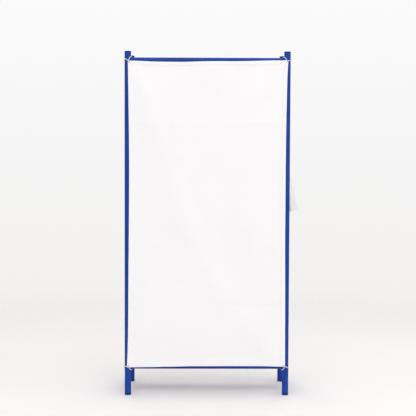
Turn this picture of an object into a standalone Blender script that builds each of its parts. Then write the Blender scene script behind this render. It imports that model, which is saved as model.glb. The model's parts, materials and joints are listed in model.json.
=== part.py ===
"""Freestanding fabric screen: a box frame of round steel tube, with a cloth tied across its front and back.

The posts stand at the corners of a long, shallow footprint. X runs across the screen, the front faces -Y,
and the feet rest on Z = 0. Sizes are in metres.
"""

import math

import bmesh
import bpy
from mathutils import Vector

# Frame
SCREEN_HEIGHT = 1.800
POST_SPACING_X = 0.828
POST_SPACING_Y = 0.354
TUBE_OD = 0.0337
TUBE_WALL = 0.0020
TOP_RAIL_DROP = 0.050
BOTTOM_RAIL_HEIGHT = 0.155

# End caps
TOP_CAP_RIM = 0.007
FOOT_CAP_RIM = 0.010
CAP_EDGE = 0.0012
PLUG_LENGTH = 0.022
PLUG_WALL = 0.0025
PLUG_CLEARANCE = 0.0003

# Cloths and their ties
SHEET_THICKNESS = 0.0020
SHEET_EDGE_BOW = 0.005
TIE_DIAMETER = 0.0045
TIE_HOLE_CLEARANCE = 0.0023
TIE_HOLE_INSET = 0.007
KNOT_RADIUS = 0.0050
KNOT_END_LENGTH = 0.026

# Loose cloth strip tied round the rear right post
STRIP_HEIGHT = 1.240
STRIP_KNOT_RADIUS = 0.0080
TAIL_THICKNESS = 0.0050
TAIL_NECK = 0.016
TAIL_LENGTH = 0.290
TAIL_OUTER_REACH = 0.0673
TAIL_INNER_REACH = 0.012
TAIL_HEM_RISE = 0.015

# Left between touching solids
GAP = 0.0003

# Facets
ROUND_STEPS = 24
HOLE_STEPS = 16
EDGE_STEPS = 8
CORD_SECTION_STEPS = 10
TIE_POINTS = 30
CORD_BEVEL = 2

TUBE_RADIUS = TUBE_OD / 2
TUBE_BORE_RADIUS = TUBE_RADIUS - TUBE_WALL
TIE_RADIUS = TIE_DIAMETER / 2
TIE_HOLE_RADIUS = (TIE_DIAMETER + TIE_HOLE_CLEARANCE) / 2
HALF_X = POST_SPACING_X / 2
HALF_Y = POST_SPACING_Y / 2
TOP_RAIL_HEIGHT = SCREEN_HEIGHT - TOP_RAIL_DROP
# The ties pass between the cloth and the posts.
SHEET_BACK = TUBE_RADIUS + TIE_DIAMETER + 2 * GAP
SHEET_FRONT = SHEET_BACK + SHEET_THICKNESS
# So does the gathered strip, whose tail hangs just in front of it.
STRIP_ROPE_DIAMETER = TIE_DIAMETER
STRIP_FRONT = TUBE_RADIUS + GAP + STRIP_ROPE_DIAMETER

SIDES = {"left": -1, "right": 1}
FACES = {"front": -1, "rear": 1}
LEVELS = {"top": 1, "bottom": -1}
RAIL_HEIGHTS = {"top": TOP_RAIL_HEIGHT, "bottom": BOTTOM_RAIL_HEIGHT}

# How far each tie rides up, away from the cloth, where it rounds the outer side of its post
TIE_RISE = {
    ("front", "top", "left"): 0.0135,
    ("front", "top", "right"): 0.0030,
    ("front", "bottom", "left"): 0.0030,
    ("front", "bottom", "right"): 0.0100,
    ("rear", "top", "left"): 0.0060,
    ("rear", "top", "right"): 0.0090,
    ("rear", "bottom", "left"): 0.0070,
    ("rear", "bottom", "right"): 0.0050,
}


def strip_knot_offset():
    """The strip's knot from the rear right post's centre line, in plan."""
    y = STRIP_KNOT_RADIUS - STRIP_FRONT
    reach = TUBE_RADIUS + GAP + STRIP_KNOT_RADIUS
    return math.sqrt(reach * reach - y * y), y


def origin_shift():
    """From the middle of the posts to the middle of the whole screen, which the loose tail makes wider."""
    right_reach = HALF_X + strip_knot_offset()[0] + TAIL_OUTER_REACH
    left_reach = HALF_X + TUBE_RADIUS + GAP + TIE_DIAMETER
    return (right_reach - left_reach) / 2


def clear_scene():
    for obj in list(bpy.data.objects):
        bpy.data.objects.remove(obj)


def new_collection(name):
    collection = bpy.data.collections.new(name)
    bpy.context.scene.collection.children.link(collection)
    return collection


def new_material(name, color, roughness, metallic=0.0):
    material = bpy.data.materials.new(name)
    material.use_nodes = True
    shader = material.node_tree.nodes["Principled BSDF"]
    shader.inputs["Base Color"].default_value = (*color, 1.0)
    shader.inputs["Roughness"].default_value = roughness
    shader.inputs["Metallic"].default_value = metallic
    return material


def place(name, data, collection, parent, material, location=(0, 0, 0), rotation=(0, 0, 0)):
    """An object in its collection, under the screen's origin."""
    obj = bpy.data.objects.new(name, data)
    collection.objects.link(obj)
    obj.parent = parent
    obj.location = location
    obj.rotation_euler = rotation
    if material:
        data.materials.append(material)
    return obj


def turn_profile(obj):
    """Turns the object's profile a full circle about its own Z axis."""
    screw = obj.modifiers.new("Turn", "SCREW")
    screw.steps = ROUND_STEPS
    screw.render_steps = ROUND_STEPS
    screw.use_merge_vertices = True
    screw.merge_threshold = 0.00001
    screw.use_smooth_shade = True
    return obj


def profile_mesh(name, points, closed):
    """A profile at +X, as (radius, height) points from the top down the outer side."""
    edges = [(i, i + 1) for i in range(len(points) - 1)]
    if closed:
        edges.append((len(points) - 1, 0))
    mesh = bpy.data.meshes.new(name)
    mesh.from_pydata([(radius, 0, height) for radius, height in points], edges, [])
    return mesh


def tube_mesh(name, length):
    """A tube's wall in section, centred on its length."""
    half = length / 2
    outer = [(TUBE_RADIUS, half), (TUBE_RADIUS, -half)]
    inner = [(TUBE_BORE_RADIUS, -half), (TUBE_BORE_RADIUS, half)]
    return profile_mesh(name, outer + inner, closed=True)


def rod_mesh(name, radius, length):
    half = length / 2
    return profile_mesh(name, [(0, half), (radius, half), (radius, -half), (0, -half)], closed=False)


def cap_mesh(name, rim):
    """An end cap: a rim as wide as the tube, and a hollow plug below it."""
    plug = TUBE_BORE_RADIUS - PLUG_CLEARANCE
    bore = plug - PLUG_WALL
    points = [
        (0, rim),
        (TUBE_RADIUS - CAP_EDGE, rim),
        (TUBE_RADIUS - CAP_EDGE * 0.3, rim - CAP_EDGE * 0.3),
        (TUBE_RADIUS, rim - CAP_EDGE),
        (TUBE_RADIUS, 0),
        (plug, 0),
        (plug, -PLUG_LENGTH),
        (bore, -PLUG_LENGTH),
        (bore, 0),
        (0, 0),
    ]
    return profile_mesh(name, points, closed=False)


def cut(obj, cutter):
    boolean = obj.modifiers.new("Cut by " + cutter.name, "BOOLEAN")
    boolean.operation = "DIFFERENCE"
    boolean.solver = "EXACT"
    boolean.object = cutter
    return obj


def fuse(obj, other):
    boolean = obj.modifiers.new("Fuse " + other.name, "BOOLEAN")
    boolean.operation = "UNION"
    boolean.solver = "EXACT"
    boolean.object = other
    return obj


def as_helper(obj):
    """A cutter or a shape to fuse, which is no part of the screen by itself."""
    obj.hide_render = True
    obj.display_type = "WIRE"
    return obj


def post_place(face, side):
    return SIDES[side] * HALF_X, FACES[face] * HALF_Y


def add_posts(parts, helpers, root, steel):
    """Four posts, and for each a cutter as wide as the post and its joint gap."""
    bottom = FOOT_CAP_RIM + GAP
    top = SCREEN_HEIGHT - TOP_CAP_RIM - GAP
    cutters = {}
    for face in FACES:
        for side in SIDES:
            x, y = post_place(face, side)
            name = f"{face}_{side}_post"
            middle = (x, y, (top + bottom) / 2)
            post = place(name, tube_mesh(name, top - bottom), parts, root, steel, middle)
            turn_profile(post)
            cutter = place(
                name + "_cutter",
                rod_mesh(name + "_cutter", TUBE_RADIUS + GAP, SCREEN_HEIGHT),
                helpers,
                root,
                None,
                (x, y, SCREEN_HEIGHT / 2),
            )
            cutters[face, side] = as_helper(turn_profile(cutter))
    return cutters


def add_cross_rails(parts, helpers, root, steel, post_cutters):
    """Front and rear rails, their ends shaped to the posts. Returns cutters for the side rails."""
    across = (0, math.pi / 2, 0)
    cutters = {}
    for face in FACES:
        for level, height in RAIL_HEIGHTS.items():
            name = f"{face}_{level}_rail"
            where = (0, FACES[face] * HALF_Y, height)
            rail = place(name, tube_mesh(name, POST_SPACING_X), parts, root, steel, where, across)
            turn_profile(rail)
            for side in SIDES:
                cut(rail, post_cutters[face, side])
            cutter = place(
                name + "_cutter",
                rod_mesh(name + "_cutter", TUBE_RADIUS + GAP, POST_SPACING_X + 2 * TUBE_OD),
                helpers,
                root,
                None,
                where,
                across,
            )
            cutters[face, level] = as_helper(turn_profile(cutter))
    return cutters


def add_side_rails(parts, root, steel, post_cutters, rail_cutters):
    """Side rails, their ends shaped to both the post and the cross rail that meet them.

    They are turned by half a facet, so that their corners don't fall on the cutters' corners.
    """
    along = (math.pi / 2, -math.pi / ROUND_STEPS, 0)
    for side in SIDES:
        for level, height in RAIL_HEIGHTS.items():
            name = f"{side}_{level}_rail"
            where = (SIDES[side] * HALF_X, 0, height)
            rail = place(name, tube_mesh(name, POST_SPACING_Y), parts, root, steel, where, along)
            turn_profile(rail)
            for face in FACES:
                cut(rail, post_cutters[face, side])
                cut(rail, rail_cutters[face, level])


def add_caps(parts, root, plastic):
    for face in FACES:
        for side in SIDES:
            x, y = post_place(face, side)
            top = f"{face}_{side}_top_cap"
            turn_profile(
                place(
                    top,
                    cap_mesh(top, TOP_CAP_RIM),
                    parts,
                    root,
                    plastic,
                    (x, y, SCREEN_HEIGHT - TOP_CAP_RIM),
                )
            )
            foot = f"{face}_{side}_foot_cap"
            turn_profile(
                place(
                    foot,
                    cap_mesh(foot, FOOT_CAP_RIM),
                    parts,
                    root,
                    plastic,
                    (x, y, FOOT_CAP_RIM),
                    (math.pi, 0, 0),
                )
            )


def add_loop(curve, points):
    """A closed straight-sided outline in a flat curve."""
    spline = curve.splines.new("POLY")
    spline.points.add(len(points) - 1)
    for point, (x, y) in zip(spline.points, points):
        point.co = (x, y, 0, 1)
    spline.use_cyclic_u = True


def flat_curve(name, thickness):
    curve = bpy.data.curves.new(name, "CURVE")
    curve.dimensions = "2D"
    curve.fill_mode = "BOTH"
    curve.extrude = thickness / 2
    return curve


def arc(center, radius, start, end, steps):
    """Points along an arc, both ends included."""
    angles = [start + (end - start) * i / steps for i in range(steps + 1)]
    return [(center[0] + radius * math.cos(a), center[1] + radius * math.sin(a)) for a in angles]


def bowed_edge(start, end, inward):
    """Points from start to just before end, bent by the edge bow towards the middle of the cloth."""
    points = []
    for i in range(EDGE_STEPS):
        t = i / EDGE_STEPS
        bow = SHEET_EDGE_BOW * 4 * t * (1 - t)
        x = start[0] + (end[0] - start[0]) * t + inward[0] * bow
        y = start[1] + (end[1] - start[1]) * t + inward[1] * bow
        points.append((x, y))
    return points


def add_sheets(parts, root, cloth):
    """A cloth whose corners lie on the centre lines of posts and rails, on each face."""
    half_width = HALF_X
    half_height = (TOP_RAIL_HEIGHT - BOTTOM_RAIL_HEIGHT) / 2
    middle = (TOP_RAIL_HEIGHT + BOTTOM_RAIL_HEIGHT) / 2
    corners = [
        (-half_width, -half_height),
        (half_width, -half_height),
        (half_width, half_height),
        (-half_width, half_height),
    ]
    inwards = [(0, 1), (-1, 0), (0, -1), (1, 0)]
    outline = []
    for i, inward in enumerate(inwards):
        outline += bowed_edge(corners[i], corners[(i + 1) % 4], inward)
    for face, outward in FACES.items():
        name = face + "_sheet"
        curve = flat_curve(name, SHEET_THICKNESS)
        add_loop(curve, outline)
        for x in (-1, 1):
            for y in (-1, 1):
                center = (x * (half_width - TIE_HOLE_INSET), y * (half_height - TIE_HOLE_INSET))
                ring = arc(center, TIE_HOLE_RADIUS, 0, 2 * math.pi, HOLE_STEPS)
                add_loop(curve, ring[:-1])
        depth = outward * (HALF_Y + (SHEET_BACK + SHEET_FRONT) / 2)
        place(name, curve, parts, root, cloth, (0, depth, middle), (math.pi / 2, 0, 0))


def tie_route(rise):
    """A tie's centre line as (outward, forward, away) from the crossing of its post and rail.

    It comes through the cloth's corner, rounds the inner side of the post beyond the rail, passes
    behind the post over the side rail, and comes back round the outer side to the front.
    """
    on_post = TUBE_RADIUS + TIE_RADIUS + GAP
    proud = SHEET_FRONT + TIE_RADIUS + GAP
    beyond = on_post + 0.0012
    hole = -TIE_HOLE_INSET
    return [
        (hole, (on_post + proud) / 2, hole),
        (hole * 0.75, proud, hole * 0.65),
        (0.0015, proud, rise * 0.2),
        (0.0095, on_post * 0.96, rise * 0.55),
        (on_post * 0.87, on_post * 0.55, rise * 0.9),
        (on_post * 1.01, -0.0010, rise + 0.0020),
        (on_post * 0.90, -on_post * 0.56, max(rise, 0.0110) + 0.0015),
        (on_post * 0.52, -on_post * 0.94, beyond * 0.90),
        (-0.0010, -on_post * 1.08, beyond * 1.04),
        (-on_post * 0.62, -on_post * 0.86, beyond * 1.06),
        (-on_post * 0.98, -on_post * 0.28, beyond * 1.04),
        (-on_post * 0.95, on_post * 0.34, beyond * 1.03),
        (-on_post * 0.66, on_post * 0.80, beyond * 0.82),
        (-on_post * 0.38, on_post * 0.99, beyond * 0.42),
        (hole * 0.85, on_post, 0.0),
        (hole * 0.98, on_post * 1.02, hole * 0.72),
    ]


def smooth_loop(points, count):
    """Evenly numbered points on a closed Catmull-Rom curve through the given ones."""
    vectors = [Vector(p) for p in points]
    total = len(vectors)
    result = []
    for i in range(count):
        along = i * total / count
        k = int(along)
        t = along - k
        p0, p1, p2, p3 = (vectors[(k + j - 1) % total] for j in range(4))
        linear = p2 - p0
        square = 2 * p0 - 5 * p1 + 4 * p2 - p3
        cube = 3 * p1 - p0 - 3 * p2 + p3
        result.append((2 * p1 + linear * t + square * t * t + cube * t * t * t) / 2)
    return result


def cord_curve(name, points, diameter, cyclic):
    """A round cord along the points."""
    curve = bpy.data.curves.new(name, "CURVE")
    curve.dimensions = "3D"
    curve.bevel_depth = diameter / 2
    curve.bevel_resolution = CORD_BEVEL
    curve.use_fill_caps = not cyclic
    spline = curve.splines.new("POLY")
    spline.points.add(len(points) - 1)
    for point, position in zip(spline.points, points):
        point.co = (*position, 1)
    spline.use_cyclic_u = cyclic
    return curve


def mesh_from_curve(name, curve, collection, root, material):
    """The curve's tube as a closed mesh, which a Boolean can take."""
    source = bpy.data.objects.new(name + "_route", curve)
    collection.objects.link(source)
    source.parent = root
    bpy.context.view_layer.update()
    evaluated = source.evaluated_get(bpy.context.evaluated_depsgraph_get())
    mesh = bpy.data.meshes.new_from_object(evaluated)
    mesh.name = name
    shape = bmesh.new()
    shape.from_mesh(mesh)
    bmesh.ops.remove_doubles(shape, verts=shape.verts, dist=0.00001)
    bmesh.ops.recalc_face_normals(shape, faces=shape.faces)
    shape.to_mesh(mesh)
    shape.free()
    mesh.shade_smooth()
    obj = place(name, mesh, collection, root, material)
    bpy.data.objects.remove(source)
    return obj


def ball_mesh(name, radius):
    shape = bmesh.new()
    bmesh.ops.create_icosphere(shape, subdivisions=2, radius=radius)
    mesh = bpy.data.meshes.new(name)
    shape.to_mesh(mesh)
    shape.free()
    mesh.shade_smooth()
    return mesh


def add_tie(parts, helpers, root, cord, face, level, side):
    """One corner tie: its loop, the knot behind the post and the knot's two short ends."""
    post_x, post_y = post_place(face, side)

    def at(outward, forward, away):
        x = post_x + SIDES[side] * outward
        y = post_y + FACES[face] * forward
        z = RAIL_HEIGHTS[level] + LEVELS[level] * away
        return Vector((x, y, z))

    name = f"{face}_{level}_{side}_tie"
    route = smooth_loop([at(*p) for p in tie_route(TIE_RISE[face, level, side])], TIE_POINTS)
    tie = mesh_from_curve(name, cord_curve(name, route, TIE_DIAMETER, True), parts, root, cord)
    reach = TUBE_RADIUS + KNOT_RADIUS + GAP
    knot = at(-0.30 * reach, -1.05 * reach, 1.02 * reach)
    ball = place(name + "_knot", ball_mesh(name + "_knot", KNOT_RADIUS), helpers, root, None, knot)
    fuse(tie, as_helper(ball))
    ends = (Vector((-0.84, -0.40, -0.36)), Vector((-0.10, -0.98, 0.15)))
    for number, direction in enumerate(ends, start=1):
        towards = at(*(direction * KNOT_END_LENGTH)) - at(0, 0, 0)
        end_name = f"{name}_end_{number}"
        end_route = [knot, knot + towards / 2, knot + towards]
        end = cord_curve(end_name, end_route, TIE_DIAMETER * 0.96, False)
        fuse(tie, as_helper(mesh_from_curve(end_name, end, helpers, root, None)))


def add_strip_loop(parts, helpers, root, cloth):
    """The gathered strip round the rear right post, with its knot at the front outer side."""
    post_x, post_y = post_place("rear", "right")
    offset_x, offset_y = strip_knot_offset()
    radius = TUBE_RADIUS + GAP + STRIP_ROPE_DIAMETER / 2
    rope_radius = STRIP_ROPE_DIAMETER / 2
    section = arc((radius, 0), rope_radius, math.pi / 2, -1.5 * math.pi, CORD_SECTION_STEPS)[:-1]
    name = "side_strip_loop"
    where = (post_x, post_y, STRIP_HEIGHT)
    loop = place(name, profile_mesh(name, section, True), parts, root, cloth, where)
    turn_profile(loop)
    knot = place(
        name + "_knot",
        ball_mesh(name + "_knot", STRIP_KNOT_RADIUS),
        helpers,
        root,
        None,
        (post_x + offset_x, post_y + offset_y, STRIP_HEIGHT),
    )
    fuse(loop, as_helper(knot))


def add_strip_tail(parts, root, cloth):
    """The strip's loose end, which swings on the knot. Its origin is on the axis of that swing."""
    post_x, post_y = post_place("rear", "right")
    neck = TAIL_NECK / 2
    outline = arc((0, 0), neck, math.pi, 0, EDGE_STEPS)
    outline += [
        (TAIL_OUTER_REACH, -(TAIL_LENGTH - TAIL_HEM_RISE)),
        (TAIL_OUTER_REACH / 2, -TAIL_LENGTH),
        (-TAIL_INNER_REACH, -TAIL_LENGTH),
    ]
    name = "side_strip_tail"
    curve = flat_curve(name, TAIL_THICKNESS)
    add_loop(curve, outline)
    x = post_x + strip_knot_offset()[0]
    y = post_y - STRIP_FRONT - GAP - TAIL_THICKNESS / 2
    place(name, curve, parts, root, cloth, (x, y, STRIP_HEIGHT), (math.pi / 2, 0, 0))


def build():
    clear_scene()
    parts = new_collection("fabric_screen")
    helpers = new_collection("cutters")
    steel = new_material("blue_powder_coat", (0.018, 0.052, 0.300), 0.42)
    plastic = new_material("dark_blue_plastic", (0.006, 0.018, 0.130), 0.50)
    cloth = new_material("white_cotton", (0.88, 0.88, 0.87), 0.90)
    cord = new_material("white_cord", (0.82, 0.82, 0.82), 0.85)
    root = bpy.data.objects.new("screen_origin", None)
    parts.objects.link(root)
    root.location = (-origin_shift(), 0, 0)
    post_cutters = add_posts(parts, helpers, root, steel)
    rail_cutters = add_cross_rails(parts, helpers, root, steel, post_cutters)
    add_side_rails(parts, root, steel, post_cutters, rail_cutters)
    add_caps(parts, root, plastic)
    add_sheets(parts, root, cloth)
    for face, level, side in TIE_RISE:
        add_tie(parts, helpers, root, cord, face, level, side)
    add_strip_loop(parts, helpers, root, cloth)
    add_strip_tail(parts, root, cloth)


build()
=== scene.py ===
"""Freestanding fabric screen: the looks of its frame, cloths, cords and loose strip, in metres."""

import json
import math

import bmesh
import bpy
import numpy as np
from mathutils import Matrix, Vector


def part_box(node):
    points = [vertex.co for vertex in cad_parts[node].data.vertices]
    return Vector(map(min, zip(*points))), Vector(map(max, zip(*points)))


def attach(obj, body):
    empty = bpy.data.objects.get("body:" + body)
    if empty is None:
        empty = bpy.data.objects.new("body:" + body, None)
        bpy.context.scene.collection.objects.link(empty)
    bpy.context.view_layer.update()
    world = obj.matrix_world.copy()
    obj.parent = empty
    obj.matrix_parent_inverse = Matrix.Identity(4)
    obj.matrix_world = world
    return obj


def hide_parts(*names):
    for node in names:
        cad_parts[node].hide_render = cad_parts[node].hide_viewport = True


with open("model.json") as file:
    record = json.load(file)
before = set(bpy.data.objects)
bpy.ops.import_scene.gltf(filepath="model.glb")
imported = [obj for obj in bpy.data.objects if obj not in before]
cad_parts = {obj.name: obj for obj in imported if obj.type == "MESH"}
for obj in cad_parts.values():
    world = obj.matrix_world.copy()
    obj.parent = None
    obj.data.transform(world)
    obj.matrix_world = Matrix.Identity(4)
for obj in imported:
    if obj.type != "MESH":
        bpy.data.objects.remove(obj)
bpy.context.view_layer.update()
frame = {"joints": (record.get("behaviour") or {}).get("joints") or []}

SIDES = {"left": -1, "right": 1}
FACES = {"front": -1, "rear": 1}
LEVELS = {"top": 1, "bottom": -1}

# Camera, from the middle of the posts' feet
CAMERA_PLACE = (-0.057, -6.357, 1.351)
CAMERA_LENS = 102.55
CAMERA_SENSOR = 36.0
CAMERA_HEADING = math.radians(-0.57)
CAMERA_PITCH = math.radians(-3.38)
CAMERA_ROLL = math.radians(0.21)


# Where things are, from the CAD frame


def middle(node):
    low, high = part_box(node)
    return (low + high) / 2


def post_axis(face, side):
    return middle(f"{face}_{side}_post").xy


TUBE_RADIUS = (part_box("front_left_post")[1].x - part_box("front_left_post")[0].x) / 2
RAIL_HEIGHTS = {level: middle(f"front_{level}_rail").z for level in LEVELS}
POSTS_MIDDLE = sum((post_axis(f, s) for f in FACES for s in SIDES), Vector((0, 0))) / 4


def link(name, data):
    """A new object in the scene."""
    obj = bpy.data.objects.new(name, data)
    bpy.context.scene.collection.objects.link(obj)
    return obj


def add_camera():
    data = bpy.data.cameras.new("camera")
    data.lens = CAMERA_LENS
    data.sensor_width = CAMERA_SENSOR
    data.clip_end = 60
    camera = link("camera", data)
    place = Vector((POSTS_MIDDLE.x, POSTS_MIDDLE.y, 0)) + Vector(CAMERA_PLACE)
    turn = Matrix.Rotation(CAMERA_HEADING, 4, "Z")
    tilt = Matrix.Rotation(math.pi / 2 + CAMERA_PITCH, 4, "X")
    roll = Matrix.Rotation(CAMERA_ROLL, 4, "Z")
    camera.matrix_world = Matrix.Translation(place) @ turn @ tilt @ roll
    bpy.context.scene.camera = camera


# Materials


class Nodes:
    """The node tree of a material or a world, with short ways to add and join nodes."""

    def __init__(self, owner):
        owner.use_nodes = True
        self.owner = owner
        self.tree = owner.node_tree

    def feed(self, node, inputs):
        """Sets each named input to a constant, or joins a source to it."""
        for name, value in inputs.items():
            if isinstance(value, bpy.types.NodeSocket):
                self.tree.links.new(value, node.inputs[name])
            else:
                node.inputs[name].default_value = value

    def add(self, kind, inputs=None, **settings):
        node = self.tree.nodes.new(kind)
        for name, value in settings.items():
            setattr(node, name, value)
        self.feed(node, inputs or {})
        return node

    def coordinates(self):
        return self.add("ShaderNodeTexCoord").outputs["Object"]

    def scaled(self, source, scale):
        return self.add("ShaderNodeMapping", {"Vector": source, "Scale": scale}).outputs["Vector"]

    def noise(self, source, scale, detail=3.0, roughness=0.5):
        inputs = {"Vector": source, "Scale": scale, "Detail": detail, "Roughness": roughness}
        return self.add("ShaderNodeTexNoise", inputs).outputs["Fac"]

    def wave(self, source, scale, direction, distortion):
        inputs = {"Vector": source, "Scale": scale, "Distortion": distortion, "Detail": 1.0}
        inputs["Detail Scale"] = 1.0
        node = self.add("ShaderNodeTexWave", inputs, wave_type="BANDS", bands_direction=direction)
        return node.outputs["Fac"]

    def ramp(self, source, stops):
        node = self.add("ShaderNodeValToRGB", {"Fac": source})
        elements = node.color_ramp.elements
        while len(elements) < len(stops):
            elements.new(0.5)
        for element, (at, color) in zip(elements, stops):
            element.position = at
            element.color = (*color, 1.0)
        return node.outputs["Color"]

    def remap(self, source, low, high):
        inputs = {"Value": source, "To Min": low, "To Max": high}
        return self.add("ShaderNodeMapRange", inputs).outputs["Result"]

    def math(self, operation, first, second):
        return self.add("ShaderNodeMath", {0: first, 1: second}, operation=operation).outputs["Value"]

    def bump(self, height, distance, strength=1.0, **under):
        inputs = {"Height": height, "Distance": distance, "Strength": strength, **under}
        return self.add("ShaderNodeBump", inputs).outputs["Normal"]

    def mixed(self, share, first, second, output):
        """Ends the tree with a mix of two shaders."""
        mix = self.add("ShaderNodeMixShader", {"Fac": share, 1: first, 2: second})
        self.feed(self.tree.nodes[output], {"Surface": mix.outputs["Shader"]})

    def finish(self, color, roughness, normal, **constants):
        """Feeds the material's shader, and gives the material."""
        shader = self.tree.nodes["Principled BSDF"]
        self.feed(shader, {"Base Color": color, "Roughness": roughness, "Normal": normal})
        self.feed(shader, {name.replace("_", " "): value for name, value in constants.items()})
        return self.owner


# The blue of the powder coat, and the darker blue of the moulded caps
COAT_BLUE = (0.0114, 0.053, 0.325)
COAT_BLUE_DARK = (0.0095, 0.0455, 0.287)
COAT_BLUE_LIGHT = (0.0133, 0.060, 0.358)
CAP_BLUE = (0.0065, 0.031, 0.195)
CAP_BLUE_LIGHT = (0.0090, 0.041, 0.245)
COTTON = (0.925, 0.915, 0.925)
COTTON_SHADE = (0.895, 0.883, 0.890)
# The strip's cotton is painted lighter than the cloths' cotton: painted light, standing in for the light
# that the post and cloths keep from it
STRIP_COTTON_PAINTED_LIGHT = (0.965, 0.960, 0.960)
STRIP_DARKER_TONE_PAINTED_LIGHT = (0.940, 0.932, 0.930)
CORD_WHITE = (0.80, 0.795, 0.78)
CORD_SHADE = (0.66, 0.65, 0.63)
THREAD_WHITE = (0.83, 0.825, 0.81)

COAT_PEEL_PER_M = 420
COAT_GRAIN_PER_M = 1900
CAP_GRAIN_PER_M = 2600
THREADS_PER_M = 1150
FIBERS_PER_M = 3200


def powder_coat():
    nodes = Nodes(bpy.data.materials.new("powder_coat_blue"))
    at = nodes.coordinates()
    cloudy = nodes.noise(at, 14, 4.0, 0.55)
    color = nodes.ramp(
        cloudy, [(0.30, COAT_BLUE_DARK), (0.52, COAT_BLUE), (0.74, COAT_BLUE_LIGHT)]
    )
    rubbed = nodes.noise(nodes.scaled(at, (1.0, 1.0, 0.18)), 60, 5.0, 0.6)
    roughness = nodes.remap(rubbed, 0.34, 0.56)
    peel = nodes.bump(nodes.noise(at, COAT_PEEL_PER_M, 2.0), 0.00022, 0.55)
    grain = nodes.bump(nodes.noise(at, COAT_GRAIN_PER_M, 2.0), 0.00005, 0.35, Normal=peel)
    return nodes.finish(color, roughness, grain, Specular_IOR_Level=0.13)


def cap_plastic():
    nodes = Nodes(bpy.data.materials.new("moulded_plastic_blue"))
    at = nodes.coordinates()
    color = nodes.ramp(nodes.noise(at, 90, 3.0), [(0.35, CAP_BLUE), (0.70, CAP_BLUE_LIGHT)])
    roughness = nodes.remap(nodes.noise(at, 220, 4.0), 0.42, 0.62)
    grain = nodes.bump(nodes.noise(at, CAP_GRAIN_PER_M, 2.0), 0.00006, 0.6)
    return nodes.finish(color, roughness, grain, Specular_IOR_Level=0.15)


def cotton(name, threads=THREADS_PER_M, shade=COTTON_SHADE, light=COTTON):
    """Plain weave: warp and weft threads a little uneven in thickness, with slubs and soft fuzz."""
    nodes = Nodes(bpy.data.materials.new(name))
    at = nodes.coordinates()
    warp = nodes.wave(at, threads / math.pi, "X", 0.4)
    weft = nodes.wave(at, threads / math.pi, "Z", 0.4)
    weave = nodes.math("MAXIMUM", warp, weft)
    warp_slubs = nodes.noise(nodes.scaled(at, (420, 420, 9)), 1.0, 2.0)
    weft_slubs = nodes.noise(nodes.scaled(at, (9, 420, 420)), 1.0, 2.0)
    slubs = nodes.math("MAXIMUM", warp_slubs, weft_slubs)
    fuzz = nodes.noise(at, FIBERS_PER_M, 2.0)
    soft = nodes.noise(at, 5.5, 4.0, 0.5)
    tint = nodes.math("ADD", nodes.math("MULTIPLY", soft, 0.2), nodes.math("MULTIPLY", slubs, 0.8))
    color = nodes.ramp(tint, [(0.34, shade), (0.55, light)])
    woven = nodes.bump(weave, 0.00018, 0.5)
    uneven = nodes.bump(slubs, 0.00035, 0.45, Normal=woven)
    fuzzy = nodes.bump(fuzz, 0.00010, 0.35, Normal=uneven)
    roughness = nodes.remap(slubs, 0.82, 0.96)
    return nodes.finish(color, roughness, fuzzy, Sheen_Weight=0.15, Sheen_Roughness=0.5)


def cord_cotton():
    nodes = Nodes(bpy.data.materials.new("cotton_cord"))
    at = nodes.coordinates()
    fibers = nodes.noise(at, 1400, 4.0, 0.6)
    color = nodes.ramp(fibers, [(0.30, CORD_SHADE), (0.58, CORD_WHITE)])
    fuzzy = nodes.bump(fibers, 0.00025, 0.6)
    return nodes.finish(color, nodes.remap(fibers, 0.80, 0.95), fuzzy, Sheen_Weight=0.2)


def thread_cotton():
    nodes = Nodes(bpy.data.materials.new("sewing_thread"))
    at = nodes.coordinates()
    fibers = nodes.noise(at, 4200, 2.0)
    color = nodes.ramp(fibers, [(0.25, CORD_SHADE), (0.5, THREAD_WHITE)])
    return nodes.finish(color, 0.78, nodes.bump(fibers, 0.00008, 0.5), Sheen_Weight=0.2)


# Meshes


def new_piece(name, points, faces, material):
    """A smooth mesh object with its faces turned outwards."""
    mesh = bpy.data.meshes.new(name)
    mesh.from_pydata([tuple(p) for p in points], [], faces)
    mesh.validate()
    shape = bmesh.new()
    shape.from_mesh(mesh)
    loose = [v for v in shape.verts if not v.link_faces]
    bmesh.ops.delete(shape, geom=loose, context="VERTS")
    bmesh.ops.recalc_face_normals(shape, faces=shape.faces)
    shape.to_mesh(mesh)
    shape.free()
    mesh.polygons.foreach_set("use_smooth", [True] * len(mesh.polygons))
    mesh.materials.append(material)
    return link(name, mesh)


def settle(piece, node=None, body="frame"):
    """Says which body a piece rides on, and hides the CAD solid that it stands for."""
    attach(piece, body)
    if node is not None:
        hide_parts(node)


def on_circle(center, radius, turn, height):
    """A place on a circle round an upright axis."""
    return (center[0] + radius * math.cos(turn), center[1] + radius * math.sin(turn), height)


def join_rings(faces, first, second, sides):
    """Adds the quads between two rings of points. Each ring is given by its first point's number."""
    for k in range(sides):
        n = (k + 1) % sides
        faces.append((first + k, first + n, second + n, second + k))


def unit(vectors):
    """The vectors along the last axis, each made one long."""
    return vectors / np.linalg.norm(vectors, axis=-1, keepdims=True)


def grid_faces(wide, tall):
    """The quads of a grid of points, row by row."""
    corners = [j * wide + i for j in range(tall - 1) for i in range(wide - 1)]
    return [(k, k + 1, k + wide + 1, k + wide) for k in corners]


def grid_outline(wide, tall):
    """The points round the edge of a grid, in turn."""
    outline = list(range(wide))
    outline += [j * wide + wide - 1 for j in range(1, tall)]
    outline += [(tall - 1) * wide + i for i in range(wide - 2, -1, -1)]
    outline += [j * wide for j in range(tall - 2, 0, -1)]
    return outline


def two_sided(faces, loops, total):
    """A sheet's faces, the same faces on its other side, and the strips that join them at each loop."""
    both = faces + [tuple(k + total for k in face[::-1]) for face in faces]
    for loop in loops:
        both += [(a, b, b + total, a + total) for a, b in zip(loop, loop[1:] + loop[:1])]
    return both


def distances(line):
    """How far each point of a line is from its start, along the line."""
    return np.concatenate([[0], np.cumsum(np.linalg.norm(np.diff(line, axis=0), axis=1))])


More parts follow.
